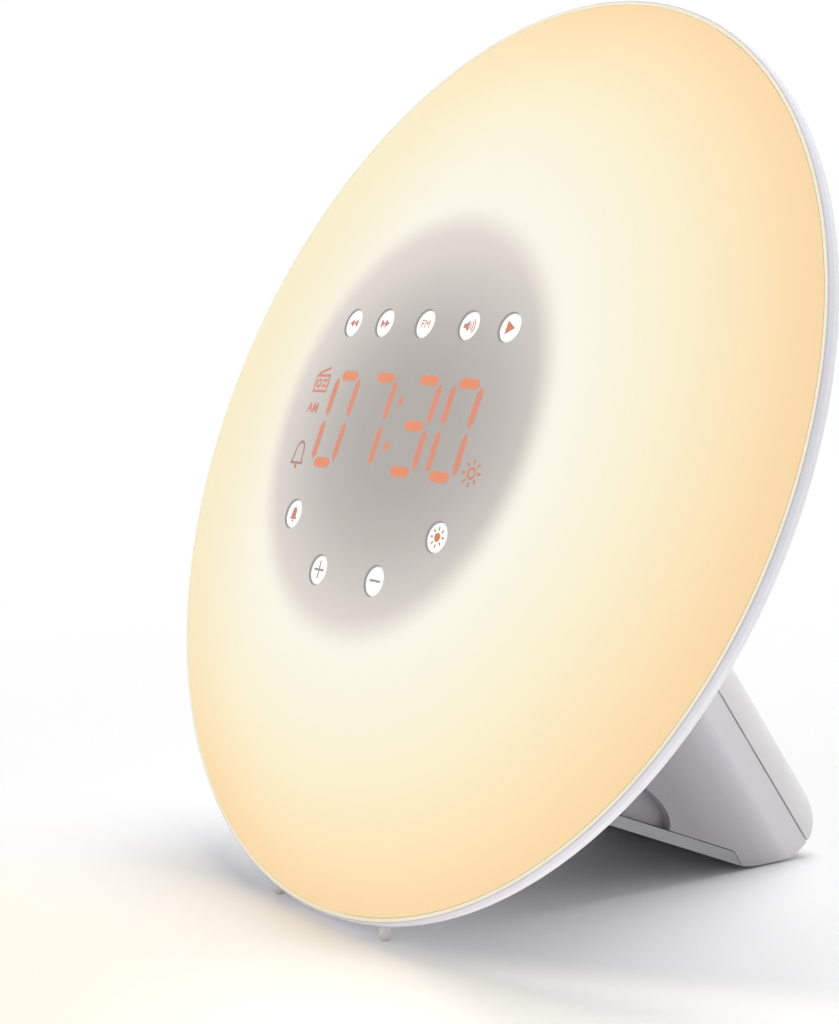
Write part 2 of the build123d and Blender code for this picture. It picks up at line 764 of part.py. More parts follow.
def base_plate_face(gap):
    """Side view of the plate under the leg, with its slanted rear joint."""
    lean = base_plate_slant / base_plate_thickness
    rear = heel_depth + gap * hypot(1, lean)
    low = underside - gap
    top = plate_top + gap
    corners = (
        (rim_depth, low),
        (rear + lean * gap, low),
        (rear - lean * (top - underside), top),
        (rim_depth, top),
    )
    with BuildSketch() as profile:
        with BuildLine():
            Polyline(*corners, close=True)
        make_face()
    return profile.sketch


def recess_face(margin):
    """Half ellipse of the finger recess, standing on the base plate."""
    with BuildSketch() as profile:
        with Locations((recess_place, plate_top)):
            Ellipse(recess_half_length + margin, recess_height + margin)
            size = 2 * (recess_half_length + margin)
            Rectangle(size, size, align=(Align.CENTER, Align.MAX), mode=Mode.SUBTRACT)
    return profile.sketch


with BuildPart() as leg_body:
    add(leg_outer)
    add(leg_hollow, mode=Mode.SUBTRACT)
    # the finger recess is a pocket with its own wall behind it
    with BuildSketch(jack_plane):
        add(recess_face(recess_wall))
    extrude(amount=leg_half_width - recess_back)
    # bosses that take the disc's screws, the plate's, the board's and the cover's
    for x, y in leg_boss_places:
        start = dish_level(hypot(x, y)) - leg_boss_length
        rods(face.offset(start), [(x, y)], boss_radius, 2 * leg_boss_length)
    rods(plate_top_plane, plate_screw_sites, boss_radius, plate_boss_height)
    rods(board_boss_plane, board_screw_sites, boss_radius, main_board_boss_height)
    with BuildSketch(board_boss_plane):
        rib = leg_half_width - leg_wall - board_boss_x + boss_merge
        for x, y in board_screw_sites:
            with Locations((x + (rib if x > 0 else -rib) / 2, y)):
                Rectangle(rib, boss_radius)
    extrude(amount=main_board_boss_height)
    rods(back.offset(-cover_boss_top), cover_screw_sites, boss_radius, -2 * screw_grip)
    add(leg_outer, mode=Mode.INTERSECT)
    add(slope_slab(-leg_wall, leg_rounding), mode=Mode.SUBTRACT)
    with BuildSketch(side):
        add(base_plate_face(base_plate_gap))
    extrude(amount=2 * leg_half_width, both=True, mode=Mode.SUBTRACT)
    with BuildSketch(recess_plane):
        add(recess_face(0))
    extrude(amount=2 * recess_depth, mode=Mode.SUBTRACT)
    rods(recess_plane, [(jack_place, jack_height)], jack_nose_radius + fit_gap,
         -2 * recess_wall, Mode.SUBTRACT)
    with BuildSketch(heel):
        with Locations(pad_place):
            Rectangle(pad_width + 2 * fit_gap, pad_length + 2 * fit_gap)
    extrude(amount=pad_thickness - pad_proud, mode=Mode.SUBTRACT)
    for x, y in leg_boss_places:
        depth = dish_level(hypot(x, y)) - screw_grip - pilot_spare
        rods(face, [(x, y)], pilot_radius, depth, Mode.SUBTRACT)
    depth = screw_grip + pilot_spare
    rods(plate_top_plane, plate_screw_sites, pilot_radius, depth, Mode.SUBTRACT)
    rods(board_boss_plane, board_screw_sites, pilot_radius, depth, Mode.SUBTRACT)
    rods(back, cover_screw_sites, pilot_radius, -cover_boss_top - depth, Mode.SUBTRACT)
leg_body.part.label = "leg_body"
export_step(leg_body.part, "parts/leg_body.step")

# a thick band along the parting line carries a tongue that reaches into the body
with BuildPart() as cover_band:
    add(leg_outer)
    add(tongue_inner, mode=Mode.SUBTRACT)
    edge = leg_rounding - parting_gap
    add(slope_slab(edge - tongue_band, edge), mode=Mode.INTERSECT)

with BuildPart() as cover_tongue:
    add(tongue_outer)
    add(tongue_inner, mode=Mode.SUBTRACT)
    edge = leg_rounding - parting_gap
    add(slope_slab(edge, leg_rounding + tongue_depth), mode=Mode.INTERSECT)

grille_places = [(0, 0)]
for ring in range(1, grille_rings + 1):
    grille_places += around(6 * ring, ring * grille_pitch, 90)

with BuildPart() as leg_rear_cover:
    add(leg_outer)
    add(leg_hollow, mode=Mode.SUBTRACT)
    add(slope_slab(leg_rounding - parting_gap, 2 * rim_radius), mode=Mode.SUBTRACT)
    add(cover_band.part)
    add(cover_tongue.part)
    rods(back.offset(-cover_well_depth), cover_screw_sites, well_radius, cover_well_depth)
    add(leg_outer, mode=Mode.INTERSECT)
    rods(back.offset(well_floor - cover_well_depth), cover_screw_sites, well_bore,
         cover_well_depth, Mode.SUBTRACT)
    rods(back, cover_screw_sites, clearance_radius, -2 * cover_well_depth, Mode.SUBTRACT)
    # the speaker seats on a ring, its corners on four short bosses
    rods(speaker, [(0, 0)], speaker_bore + gasket_width, speaker_seat + leg_wall / 2)
    rods(speaker, [(0, 0)], speaker_bore, speaker_seat, Mode.SUBTRACT)
    stand = gasket_thickness + speaker_seat
    rods(flange_plane, speaker_corners, boss_radius - 1, stand + leg_wall / 2)
    rods(flange_plane, speaker_corners, pilot_radius, stand + leg_wall / 2, Mode.SUBTRACT)
    rods(speaker, grille_places, grille_hole, 2 * leg_wall, Mode.SUBTRACT)
leg_rear_cover.part.label = "leg_rear_cover"
export_step(leg_rear_cover.part, "parts/leg_rear_cover.step")

with BuildPart() as leg_base_plate:
    with BuildSketch(side):
        add(base_plate_face(0))
    extrude(amount=leg_half_width, both=True)
    with BuildSketch(section):
        add(dish_face(-fit_gap, rim_radius, 0))
    revolve(axis=turn_axis, mode=Mode.SUBTRACT)
    depth = 2 * base_plate_thickness
    head_plane = plate_top_plane.offset(-well_floor / 2)
    rods(plate_top_plane, plate_screw_sites, clearance_radius, -depth, Mode.SUBTRACT)
    rods(head_plane, plate_screw_sites, well_bore, -depth, Mode.SUBTRACT)
leg_base_plate.part.label = "leg_base_plate"
export_step(leg_base_plate.part, "parts/leg_base_plate.step")

with BuildPart() as leg_pad:
    with BuildSketch(heel.offset(-pad_proud)):
        with Locations(pad_place):
            RectangleRounded(pad_width, pad_length, pad_length / 4)
    extrude(amount=pad_thickness)
leg_pad.part.label = "leg_pad"
export_step(leg_pad.part, "parts/leg_pad.step")

# ------------------------------------------------------------------ power socket, boards
with BuildPart() as dc_jack:
    with BuildSketch(jack_plane):
        with Locations((jack_place, jack_height)):
            Rectangle(jack_width, 2 * jack_half_height)
    extrude(amount=-jack_length)
    rods(jack_plane, [(jack_place, jack_height)], jack_nose_radius, recess_wall - fit_gap)
    bore_mouth = jack_plane.offset(recess_wall - fit_gap)
    rods(bore_mouth, [(jack_place, jack_height)], jack_bore_radius, -jack_bore_depth, Mode.SUBTRACT)
dc_jack.part.label = "dc_jack"
export_step(dc_jack.part, "parts/dc_jack.step")

with BuildPart() as dc_jack_pin:
    start = bore_mouth.offset(-jack_bore_depth)
    length = jack_bore_depth - jack_pin_setback
    rods(start, [(jack_place, jack_height)], jack_pin_radius, length)
    fillet(edges().sort_by(Axis.X)[-1], jack_pin_radius / 2)
dc_jack_pin.part.label = "dc_jack_pin"
export_step(dc_jack_pin.part, "parts/dc_jack_pin.step")

board_middle = (0, main_board_start + main_board_length / 2)
with BuildPart() as main_board:
    with BuildSketch(board_boss_plane):
        with Locations(board_middle):
            Rectangle(2 * main_board_half_width, main_board_length)
        with Locations(*board_screw_sites):
            Circle(clearance_radius, mode=Mode.SUBTRACT)
    extrude(amount=-board_thickness)
main_board.part.label = "main_board"
export_step(main_board.part, "parts/main_board.step")

capacitor_y = board_middle[1] + capacitor_offset
capacitor_places = [(k * capacitor_pitch / 2, capacitor_y) for k in (-1, 1)]
with BuildPart() as capacitors:
    rods(board_boss_plane, capacitor_places, capacitor_radius, capacitor_height)
    top_edges = edges().filter_by(GeomType.CIRCLE).group_by(height_axis)[-1]
    fillet(top_edges, capacitor_radius / 8)
capacitors.part.label = "capacitors"
export_step(capacitors.part, "parts/capacitors.step")

# ------------------------------------------------------------------ ribbon between boards
socket_size = (ribbon_width + 2 * socket_edge, socket_width)
with BuildPart() as ribbon_sockets:
    with BuildSketch(face.offset(board_back)):
        with Locations((0, ribbon_height)):
            Rectangle(*socket_size)
    extrude(amount=-socket_height)
    with BuildSketch(board_boss_plane):
        with Locations((0, ribbon_drop)):
            Rectangle(*socket_size)
    extrude(amount=socket_height)
ribbon_sockets.part.label = "ribbon_sockets"
export_step(ribbon_sockets.part, "parts/ribbon_sockets.step")

with BuildPart() as ribbon_cable:
    with BuildSketch(side):
        with BuildLine():
            FilletPolyline(
                (socket_height - board_back, ribbon_height),
                (ribbon_drop, ribbon_height),
                (ribbon_drop, main_board_top + socket_height),
                radius=ribbon_bend,
            )
        trace(line_width=ribbon_thickness)
    extrude(amount=ribbon_width / 2, both=True)
ribbon_cable.part.label = "ribbon_cable"
export_step(ribbon_cable.part, "parts/ribbon_cable.step")

# ------------------------------------------------------------------ speaker
with BuildPart() as speaker_gasket:
    with BuildSketch(speaker):
        Circle(speaker_bore + gasket_width)
        Circle(speaker_bore, mode=Mode.SUBTRACT)
    extrude(amount=-gasket_thickness)
speaker_gasket.part.label = "speaker_gasket"
export_step(speaker_gasket.part, "parts/speaker_gasket.step")

basket_front = -gasket_thickness
basket_flange = basket_front - speaker_flange
basket_back = basket_front - speaker_depth
with BuildPart() as speaker_frame:
    with BuildSketch(speaker_section):
        with BuildLine():
            Polyline(
                (speaker_bore, basket_front),
                (speaker_bore + speaker_flange, basket_front),
                (speaker_bore + speaker_flange, basket_flange),
                (speaker_back, basket_back),
                (0, basket_back),
                (0, basket_back + speaker_wall),
                (speaker_back - speaker_wall, basket_back + speaker_wall),
                (speaker_bore, basket_flange),
                close=True,
            )
        make_face()
    revolve(axis=speaker_turn)
    with BuildSketch(flange_plane):
        RectangleRounded(2 * speaker_half_width, 2 * speaker_half_width, speaker_flange)
        Circle(speaker_bore, mode=Mode.SUBTRACT)
        with Locations(*speaker_corners):
            Circle(clearance_radius, mode=Mode.SUBTRACT)
    extrude(amount=-speaker_flange)
speaker_frame.part.label = "speaker_frame"
export_step(speaker_frame.part, "parts/speaker_frame.step")

with BuildPart() as speaker_magnet:
    rods(speaker.offset(basket_back), [(0, 0)], magnet_radius, -magnet_height)
speaker_magnet.part.label = "speaker_magnet"
export_step(speaker_magnet.part, "parts/speaker_magnet.step")

cone_lip = basket_front - cone_recess
cone_throat = basket_back + speaker_wall + cone_lift
cone_cap = cone_throat + cone_cap_rise
cone_outer = speaker_bore - fit_gap / 2
cone_edge = speaker_bore - cone_roll
with BuildPart() as speaker_cone:
    with BuildSketch(speaker_section):
        with BuildLine():
            Polyline(
                (cone_outer, cone_lip),
                (cone_edge, cone_lip),
                (cone_throat_radius, cone_throat),
                (0, cone_cap),
                (0, cone_cap - cone_wall),
                (cone_throat_radius, cone_throat - cone_wall),
                (cone_edge, cone_lip - cone_wall),
                (cone_outer, cone_lip - cone_wall),
                close=True,
            )
        make_face()
    revolve(axis=speaker_turn)
speaker_cone.part.label = "speaker_cone"
export_step(speaker_cone.part, "parts/speaker_cone.step")

# ------------------------------------------------------------------ screws of the shells
with BuildPart() as housing_screws:
    screws(face.offset(boss_seat - well_floor), boss_places, well_floor + screw_grip, flip=True)
housing_screws.part.label = "housing_screws"
export_step(housing_screws.part, "parts/housing_screws.step")

with BuildPart() as leg_screws:
    for place, level in zip(leg_boss_places, leg_seat_levels):
        length = leg_seat_rise + housing_wall + fit_gap + screw_grip
        screws(face.offset(level), [place], length)
leg_screws.part.label = "leg_screws"
export_step(leg_screws.part, "parts/leg_screws.step")

with BuildPart() as base_plate_screws:
    plane = plate_top_plane.offset(-well_floor / 2)
    screws(plane, plate_screw_sites, well_floor / 2 + screw_grip, flip=True)
base_plate_screws.part.label = "base_plate_screws"
export_step(base_plate_screws.part, "parts/base_plate_screws.step")

with BuildPart() as main_board_screws:
    plane = board_boss_plane.offset(-board_thickness)
    screws(plane, board_screw_sites, board_thickness + screw_grip, flip=True)
main_board_screws.part.label = "main_board_screws"
export_step(main_board_screws.part, "parts/main_board_screws.step")

with BuildPart() as cover_screws:
    plane = back.offset(well_floor - cover_well_depth)
    screws(plane, cover_screw_sites, well_floor + fit_gap + screw_grip)
cover_screws.part.label = "cover_screws"
export_step(cover_screws.part, "parts/cover_screws.step")

with BuildPart() as speaker_screws:
    plane = speaker.offset(basket_flange)
    length = speaker_flange + gasket_thickness + speaker_seat + leg_wall / 4
    screws(plane, speaker_corners, length, flip=True)
speaker_screws.part.label = "speaker_screws"
export_step(speaker_screws.part, "parts/speaker_screws.step")
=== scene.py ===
import json
from math import asin, cos, pi, radians, sin

import bmesh
import bpy
from mathutils import Matrix, Vector
from mathutils.bvhtree import BVHTree


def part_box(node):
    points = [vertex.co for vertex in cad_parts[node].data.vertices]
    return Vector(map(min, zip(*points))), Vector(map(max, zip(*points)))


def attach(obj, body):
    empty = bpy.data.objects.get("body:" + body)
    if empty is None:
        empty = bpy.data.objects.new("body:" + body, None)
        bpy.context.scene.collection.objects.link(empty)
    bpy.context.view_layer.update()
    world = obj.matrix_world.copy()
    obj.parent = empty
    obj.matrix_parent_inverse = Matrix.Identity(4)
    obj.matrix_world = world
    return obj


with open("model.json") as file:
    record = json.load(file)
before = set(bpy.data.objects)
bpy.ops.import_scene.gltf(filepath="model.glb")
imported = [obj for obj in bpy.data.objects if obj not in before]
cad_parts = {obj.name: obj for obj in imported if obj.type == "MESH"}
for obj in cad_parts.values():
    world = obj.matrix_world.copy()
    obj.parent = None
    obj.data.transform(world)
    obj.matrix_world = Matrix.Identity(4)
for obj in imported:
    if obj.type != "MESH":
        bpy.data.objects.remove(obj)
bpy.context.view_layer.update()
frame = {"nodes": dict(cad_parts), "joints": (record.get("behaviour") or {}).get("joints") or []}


# ---------------------------------------------------------------- front diffuser
# The domed front of the lamp is one moulding of opal polycarbonate, lit from behind.
# Its glow is pale cream over the LEDs, warmer towards the edge, and grey in the middle,
# where the control module behind it keeps the lamp's light away.

def linear(hex_colour):
    """An sRGB hex colour as the linear colour that a shader takes."""
    channels = [int(hex_colour[i:i + 2], 16) / 255 for i in (1, 3, 5)]
    return [c / 12.92 if c <= 0.04045 else ((c + 0.055) / 1.055) ** 2.4 for c in channels] + [1.0]


def add_node(tree, kind, settings=None, inputs=None, stops=()):
    """Adds a node with its settings, its inputs, which are constants or other nodes'
    outputs, and the stops of a colour ramp, which are positions and hex colours."""
    node = tree.nodes.new("ShaderNode" + kind)
    for name, value in (settings or {}).items():
        setattr(node, name, value)
    for name, value in (inputs or {}).items():
        if isinstance(value, bpy.types.NodeSocket):
            tree.links.new(value, node.inputs[name])
        else:
            node.inputs[name].default_value = value
    for number, (position, colour) in enumerate(stops):
        elements = node.color_ramp.elements
        stop = elements[number] if number < 2 else elements.new(position)
        stop.position = position
        stop.color = linear(colour)
    return node


def new_material(name):
    """An empty material with its shader, and the place on the piece that it is shading."""
    material = bpy.data.materials.new(name)
    material.use_nodes = True
    tree = material.node_tree
    tree.nodes.clear()
    shader = add_node(tree, "BsdfPrincipled")
    output = add_node(tree, "OutputMaterial")
    tree.links.new(shader.outputs["BSDF"], output.inputs["Surface"])
    place = add_node(tree, "TexCoord").outputs["Object"]
    return material, tree, shader, place


def dress(material, *nodes):
    """Gives the material to CAD nodes."""
    for name in nodes:
        for slot in frame["nodes"][name].material_slots:
            slot.material = material


# the disc's own axes: x across, y up the face, z straight out of it, centred on the edge
mm = 0.001
into = Vector(frame["joints"][0]["axis"])
tilt = asin(-into.z)
diffuser_radius = 91.0
diffuser_skirt = 2.0
diffuser_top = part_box("front_diffuser")[1]
disc_y = diffuser_top.y - mm * (diffuser_skirt * cos(tilt) + diffuser_radius * sin(tilt))
disc_z = diffuser_top.z - mm * diffuser_radius * cos(tilt)
face = (
    Matrix.Translation((0, disc_y, disc_z))
    @ Matrix.Rotation(pi / 2 - tilt, 4, "X")
    @ Matrix.Diagonal((mm, mm, mm, 1))
)
disc_axes = {
    "Location": (0, disc_y, disc_z), "Rotation": (pi / 2 - tilt, 0, 0), "Scale": (mm, mm, mm),
}

# opal polycarbonate glows evenly from inside and has a matt skin, so that little of what
# is seen on it is reflected light
opal, tree, shader, place = new_material("opal_polycarbonate")
on_face = add_node(
    tree, "Mapping", {"vector_type": "TEXTURE"}, {"Vector": place, **disc_axes}
).outputs["Vector"]
flat = add_node(
    tree, "VectorMath", {"operation": "MULTIPLY"}, {0: on_face, 1: (1, 1, 0)}
).outputs["Vector"]

# the lamp's glow, by distance from the disc's middle
radius = add_node(tree, "VectorMath", {"operation": "LENGTH"}, {0: flat}).outputs["Value"]
glow_start, glow_end = 44.0, 91.0
glow_place = add_node(
    tree, "MapRange", {}, {"Value": radius, "From Min": glow_start, "From Max": glow_end}
).outputs["Result"]
glow = add_node(tree, "ValToRGB", {}, {"Fac": glow_place}, (
    (0.0, "#fbf8ea"), (0.17, "#f9f6e4"), (0.36, "#faf4d8"), (0.5, "#fcf2d0"),
    (0.64, "#fcecc7"), (0.78, "#fde6bb"), (0.9, "#fde0b2"), (1.0, "#fadbab"),
)).outputs["Color"]

# painted light: the glow is paler towards the upper left, as if lit from the left
pale_angle = radians(165)
pale_start, pale_end = 15.0, 82.0
pale_way = add_node(
    tree, "VectorMath", {"operation": "DOT_PRODUCT"},
    {0: flat, 1: (cos(pale_angle), sin(pale_angle), 0)},
).outputs["Value"]
pale = add_node(
    tree, "MapRange", {"interpolation_type": "SMOOTHSTEP"},
    {"Value": pale_way, "From Min": pale_start, "From Max": pale_end},
).outputs["Result"]
lamp = add_node(
    tree, "Mix", {"data_type": "RGBA"}, {"Factor": pale, 6: glow, 7: linear("#f8eecd")}
).outputs[2]

# painted shade: the grey where the module behind keeps the lamp's light away, darkest beside the
# display
shade_middle = (5.0, -2.0)
shade_height = 0.83
shade_reach = 60.0
shade_from = add_node(
    tree, "VectorMath", {"operation": "MULTIPLY_ADD"},
    {0: flat, 1: (1, 1 / shade_height, 0),
     2: (-shade_middle[0], -shade_middle[1] / shade_height, 0)},
).outputs["Vector"]
shade_radius = add_node(
    tree, "VectorMath", {"operation": "LENGTH"}, {0: shade_from}
).outputs["Value"]
shade_place = add_node(
    tree, "MapRange", {}, {"Value": shade_radius, "From Min": 0.0, "From Max": shade_reach}
).outputs["Result"]
shade = add_node(tree, "ValToRGB", {}, {"Fac": shade_place}, (
    (0.0, "#b4afab"), (0.25, "#b6b1ad"), (0.42, "#bfbab5"), (0.55, "#cbc6c1"),
    (0.63, "#d3cdc8"), (0.72, "#dcd5d0"), (0.82, "#e3dcd5"), (1.0, "#e8e2db"),
)).outputs["Color"]

# the painted shade's soft outline, the module's, which is a circle a little left of the disc's
# middle
module_middle = (-0.7, -0.4, 0)
module_inner, module_outer = 37.5, 45.5
module_seen = add_node(
    tree, "VectorMath", {"operation": "DISTANCE"}, {0: flat, 1: module_middle}
).outputs["Value"]
beyond_module = add_node(
    tree, "MapRange", {"interpolation_type": "SMOOTHSTEP"},
    {"Value": module_seen, "From Min": module_inner, "From Max": module_outer},
).outputs["Result"]
lit = add_node(
    tree, "Mix", {"data_type": "RGBA"}, {"Factor": beyond_module, 6: shade, 7: lamp}
).outputs[2]

# painted shade: walls that run along the disc's axis, as in the button holes, get a darker grey and
# little of the glow
wall_facing, front_facing = 0.35, 0.8
normal = add_node(tree, "NewGeometry").outputs["Normal"]
facing = add_node(
    tree, "VectorMath", {"operation": "DOT_PRODUCT"}, {0: normal, 1: tuple(-into)}
).outputs["Value"]
outside = add_node(
    tree, "MapRange", {}, {"Value": facing, "From Min": wall_facing, "From Max": front_facing}
).outputs["Result"]
colour = add_node(
    tree, "Mix", {"data_type": "RGBA"}, {"Factor": outside, 6: linear("#a09c98"), 7: lit}
).outputs[2]
reflected_share = 0.20
reflected = add_node(
    tree, "VectorMath", {"operation": "SCALE"}, {0: colour, "Scale": reflected_share}
).outputs["Vector"]
tree.links.new(reflected, shader.inputs["Base Color"])
tree.links.new(colour, shader.inputs["Emission Color"])
shader.inputs["Emission Strength"].default_value = 0.86
shader.inputs["IOR"].default_value = 1.46
shader.inputs["Specular IOR Level"].default_value = 0.0
shader.inputs["Roughness"].default_value = 0.65
dress(opal, "front_diffuser")


# ---------------------------------------------------------------- rear housing
# The dished back of the disc, with the narrow band that frames the diffuser, is one
# moulding of white ABS. The diffuser fits into it, and screws from behind hold both.

def moulded(name, colour, roughness, grain=0.4, depth=0.02):
    """Plastic with a moulded grain, in millimetres, and slightly uneven colour and gloss."""
    cloud_size, darkening, gloss_spread = 22.2, 0.03, 0.05
    material, tree, shader, place = new_material(name)
    fine = add_node(
        tree, "TexNoise", {}, {"Vector": place, "Scale": 1 / (grain * mm), "Detail": 2.0}
    ).outputs["Fac"]
    broad = add_node(
        tree, "TexNoise", {}, {"Vector": place, "Scale": 1 / (cloud_size * mm), "Detail": 3.0}
    ).outputs["Fac"]
    darker = [c * (1 - darkening) for c in linear(colour)[:3]] + [1.0]
    tint = add_node(
        tree, "Mix", {"data_type": "RGBA"}, {"Factor": broad, 6: darker, 7: linear(colour)}
    ).outputs[2]
    gloss = add_node(
        tree, "MapRange", {},
        {"Value": broad, "To Min": roughness - gloss_spread, "To Max": roughness + gloss_spread},
    ).outputs["Result"]
    bump = add_node(
        tree, "Bump", {}, {"Height": fine, "Strength": 0.35, "Distance": depth * mm}
    ).outputs["Normal"]
    tree.links.new(tint, shader.inputs["Base Color"])
    tree.links.new(gloss, shader.inputs["Roughness"])
    tree.links.new(bump, shader.inputs["Normal"])
    shader.inputs["IOR"].default_value = 1.53
    return material


def opened(material):
    """A finished material's node tree, its shader, and the place that it is shading."""
    tree = material.node_tree
    place = tree.nodes["Texture Coordinate"].outputs["Object"]
    return tree, tree.nodes["Principled BSDF"], place


def paint_light_and_shade(tree, shader, tone, share=1.0):
    """Multiplies the skin's own colour by a tone of painted light and shade, over a share of the
    piece.
    """
    skin = shader.inputs["Base Color"].links[0].from_socket
    toned = add_node(
        tree, "Mix", {"data_type": "RGBA", "blend_type": "MULTIPLY"},
        {"Factor": share, 6: skin, 7: tone},
    ).outputs[2]
    tree.links.new(toned, shader.inputs["Base Color"])


# spark-eroded white ABS is softly matt; its thin rim gets a painted glow of the lamp's light:
# a cream line beside the diffuser, and a faint glow that fades towards the back
lit_abs = moulded("lit_white_abs", "#e9e9ec", 0.42)
tree, shader, place = opened(lit_abs)
on_disc = add_node(
    tree, "Mapping", {"vector_type": "TEXTURE"}, {"Vector": place, **disc_axes}
).outputs["Vector"]
level = add_node(tree, "SeparateXYZ", {}, {"Vector": on_disc}).outputs["Z"]
across_disc = add_node(
    tree, "VectorMath", {"operation": "MULTIPLY"}, {0: on_disc, 1: (1, 1, 0)}
).outputs["Vector"]
rim_radius = add_node(
    tree, "VectorMath", {"operation": "LENGTH"}, {0: across_disc}
).outputs["Value"]
edge_width = 1.0
rim_place = add_node(
    tree, "MapRange", {},
    {"Value": rim_radius, "From Min": diffuser_radius, "From Max": diffuser_radius + edge_width},
).outputs["Result"]
glow_depth = 10.0
leak = add_node(
    tree, "MapRange", {}, {"Value": level, "From Min": -glow_depth, "From Max": 0.0}
).outputs["Result"]
# painted glow: emission on the rim's side, fading towards the back, and on its front edge
side_glow = add_node(
    tree, "ValToRGB", {}, {"Fac": leak}, ((0.0, "#000000"), (1.0, "#86858a"))
).outputs["Color"]
edge_glow = add_node(tree, "ValToRGB", {}, {"Fac": rim_place}, (
    (0.0, "#a39b83"), (0.68, "#a39b83"), (0.76, "#4f4f52"), (1.0, "#807f84"),
)).outputs["Color"]
edge_depth, edge_blur = 1.5, 0.4
front = add_node(
    tree, "MapRange", {},
    {"Value": level, "From Min": -edge_depth, "From Max": edge_blur - edge_depth},
).outputs["Result"]
painted_rim_glow = add_node(
    tree, "Mix", {"data_type": "RGBA"}, {"Factor": front, 6: side_glow, 7: edge_glow}
).outputs[2]
tree.links.new(painted_rim_glow, shader.inputs["Emission Color"])
shader.inputs["Emission Strength"].default_value = 1.0

# painted light and shade on its front edge: cream from the lamp beside the diffuser, then greyer
# over the small round
edge_light_and_shade = add_node(tree, "ValToRGB", {}, {"Fac": rim_place}, (
    (0.0, "#fff6e0"), (0.68, "#fff6e0"), (0.76, "#dcdada"), (1.0, "#ececee"),
)).outputs["Color"]
paint_light_and_shade(tree, shader, edge_light_and_shade, front)
shader.inputs["Specular IOR Level"].default_value = 0.12
dress(lit_abs, "rear_housing")


# ---------------------------------------------------------------- leg shells
# The wedge leg is two shells of the same white ABS, a body and a rear cover, that meet
# along a narrow joint. Screws inside hold them together and to the disc.

# spark-eroded white ABS, softly matt with a broad dull shine
dress(moulded("moulded_white_abs", "#f6f4f4", 0.38), "leg_rear_cover")
body_abs_painted_shade = moulded("moulded_body_abs", "#f4f2f4", 0.38)
dress(body_abs_painted_shade, "leg_body")
# painted shade: the body's skin turns greyer the farther it lies from its joint with the cover,
# towards the disc that shades it
tree, shader, place = opened(body_abs_painted_shade)
joint_slope = radians(34.5)
joint_level = 41.0
painted_shade_reach = 20.0
past_joint = add_node(
    tree, "VectorMath", {"operation": "DOT_PRODUCT"},
    {0: place, 1: (0, cos(joint_slope), sin(joint_slope))},
).outputs["Value"]
near_joint = add_node(
    tree, "MapRange", {},
    {"Value": past_joint, "From Min": mm * (joint_level - painted_shade_reach), "From Max": mm * joint_level},
).outputs["Result"]
shading = add_node(tree, "ValToRGB", {}, {"Fac": near_joint}, (
    (0.07, "#adacb1"), (0.22, "#b9b8bd"), (0.38, "#c5c4c9"), (0.53, "#cfced3"),
    (0.69, "#e4e1e6"), (0.85, "#ffffff"),
)).outputs["Color"]
paint_light_and_shade(tree, shader, shading)


# ---------------------------------------------------------------- plate under the leg
# A flat cover of the same ABS in a greyer tone closes the underside of the leg. Four
# screws hold it, and its rear joint is slanted.

# grey ABS, a little duller than the white
dress(moulded("moulded_grey_abs", "#a8a7ac", 0.42), "leg_base_plate")


# ---------------------------------------------------------------- feet, heel pad, grommet
# Two clear silicone pegs under the rim, a rubber pad let into the heel and the bush for
# the aerial wire are soft mouldings, pressed or glued into place.

# clear silicone looks milky and wet, with a bright edge
dress(moulded("clear_silicone", "#ece8e3", 0.22, grain=1.5, depth=0.01), "front_feet")
# grey rubber is dull and slightly rough
dress(moulded("grey_rubber", "#8d8d92", 0.72, grain=0.6, depth=0.05), "leg_pad", "aerial_grommet")


# ---------------------------------------------------------------- buttons
# Nine push buttons of white polycarbonate stand in holes in the diffuser. They get a painted
# glow for the light from the display board behind them, so that they look bright.

button_names = [joint["name"].removesuffix("_press") for joint in frame["joints"]]

# satin white polycarbonate, brighter than its surroundings through a painted glow for the light that
# it lets through
cap_white = moulded("satin_white_polycarbonate", "#fdfdfb", 0.30, grain=0.8, depth=0.01)
cap_shader = opened(cap_white)[1]
cap_shader.inputs["Emission Color"].default_value = linear("#ffffff")
cap_shader.inputs["Emission Strength"].default_value = 0.42
dress(cap_white, *["button_" + name for name in button_names])
# grey nylon, smooth and slightly waxy
plunger_nylon = moulded("grey_nylon", "#57575b", 0.5, grain=0.6)
dress(plunger_nylon, *["plunger_" + name for name in button_names])


# ---------------------------------------------------------------- signs on the buttons
# Each button has its sign pad-printed on its cap in one ink, a layer a few hundredths of
# a millimetre thick. It is drawn in the face's own millimetres and laid on the cap.

def add_polygon(bm, points):
    """One flat face from its corners."""
    return bm.faces.new([bm.verts.new((x, y, 0)) for x, y in points])


def add_disc(bm, x, y, disc_radius, steps=24):
    """A filled circle."""
    where = Matrix.Translation((x, y, 0))
    bmesh.ops.create_circle(bm, cap_ends=True, segments=steps, radius=disc_radius, matrix=where)


def add_arc(bm, x, y, middle_radius, width, start=0.0, turn=360.0):
    """A curved band, made by turning its end line about its centre."""
    way = Vector((cos(radians(start)), sin(radians(start)), 0))
    centre = Vector((x, y, 0))
    ends = [bm.verts.new(centre + way * (middle_radius + k * width / 2)) for k in (-1, 1)]
    line = bm.edges.new(ends)
    bmesh.ops.spin(
        bm, geom=[*ends, line], cent=centre, axis=(0, 0, 1), angle=radians(turn),
        steps=max(6, int(abs(turn) / 15)), use_merge=abs(turn) == 360.0,
    )


def add_bar(bm, x1, y1, x2, y2, width):
    """A straight line of a width."""
    side = Vector((y1 - y2, x2 - x1)).normalized() * width / 2
    add_polygon(bm, [
        (x1 + side.x, y1 + side.y), (x2 + side.x, y2 + side.y),
        (x2 - side.x, y2 - side.y), (x1 - side.x, y1 - side.y),
    ])


def add_rays(bm, x, y, inner, outer, width, count=8):
    """Short lines around a point, as on a sun."""
    for i in range(count):
        way = Vector((cos(2 * pi * i / count), sin(2 * pi * i / count)))
        start, end = Vector((x, y)) + inner * way, Vector((x, y)) + outer * way
        add_bar(bm, *start, *end, width)


